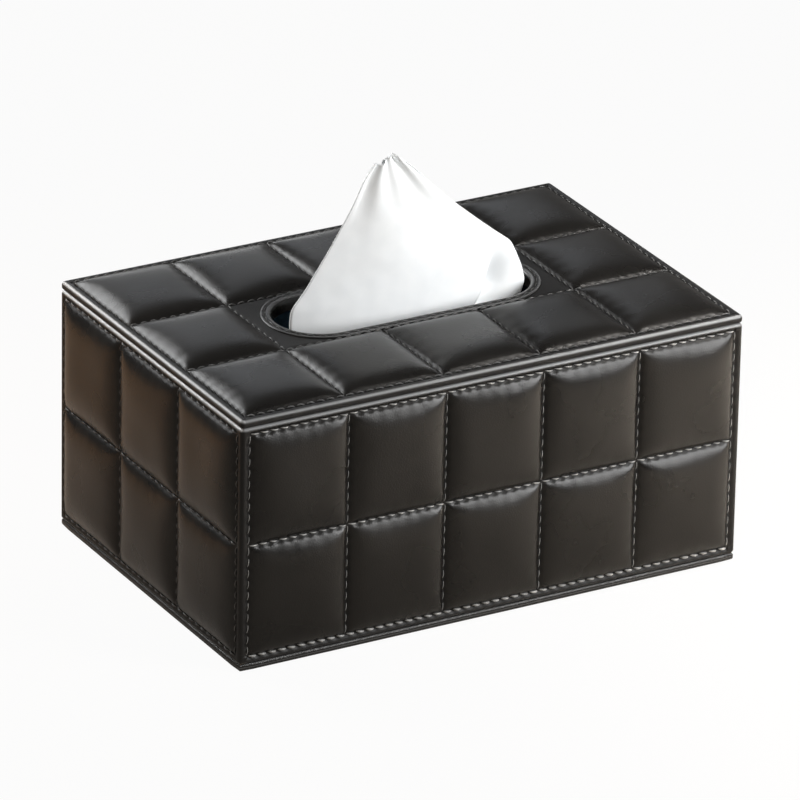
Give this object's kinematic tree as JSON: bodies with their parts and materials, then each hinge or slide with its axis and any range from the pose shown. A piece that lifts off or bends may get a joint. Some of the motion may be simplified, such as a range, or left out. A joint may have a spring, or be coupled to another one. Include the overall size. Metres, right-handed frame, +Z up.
{
  "type": "tissue box holder",
  "caption": "Quilted black leather tissue box holder with a stadium slot in its top, a tissue standing in the slot, and a magnetic base flap on a leather hinge for refilling.",
  "frame": {"origin": "middle of the underside, on the surface that the box stands on", "axes": "+X along the box to the right of someone facing its front, -Y towards the front, +Z up"},
  "size_m": [0.2162, 0.1484, 0.158],
  "materials": {
    "leather": "satin embossed black-brown leather with a fine grain",
    "sponge": "soft polyurethane sponge sheet",
    "board": "raw fibreboard",
    "felt": "black needle felt",
    "magnet": "dark ferrite bar magnet",
    "keeper": "plain steel strip",
    "tissue": "soft white tissue paper"
  },
  "bodies": {
    "shell": {"front_cover": "leather", "back_cover": "leather", "left_cover": "leather", "right_cover": "leather", "front_foam": "sponge", "back_foam": "sponge", "left_foam": "sponge", "right_foam": "sponge", "front_board": "board", "back_board": "board", "left_board": "board", "right_board": "board", "front_lining": "felt", "back_lining": "felt", "left_lining": "felt", "right_lining": "felt", "top_cover": "leather", "top_foam": "sponge", "top_board": "board", "top_lining": "felt", "slot_facing": "leather", "wall_magnets": "magnet", "hinge_strip": "leather"},
    "base_flap": {"base_cover": "leather", "base_board": "board", "base_lining": "felt", "base_keepers": "keeper"},
    "tissue_sheet": {"tissue": "tissue"}
  },
  "joints": [
    {"name": "base_hinge", "type": "hinge", "parent": "shell", "child": "base_flap", "pos_m": [0, 0.0715, 0.0029], "axis": [1, 0, 0], "range_deg": [0, 180], "deforming": ["hinge_strip"]},
    {"name": "tissue_pull", "type": "slide", "parent": "shell", "child": "tissue_sheet", "axis": [0, 0, 1], "range_m": [0, 0.06]}
  ]
}
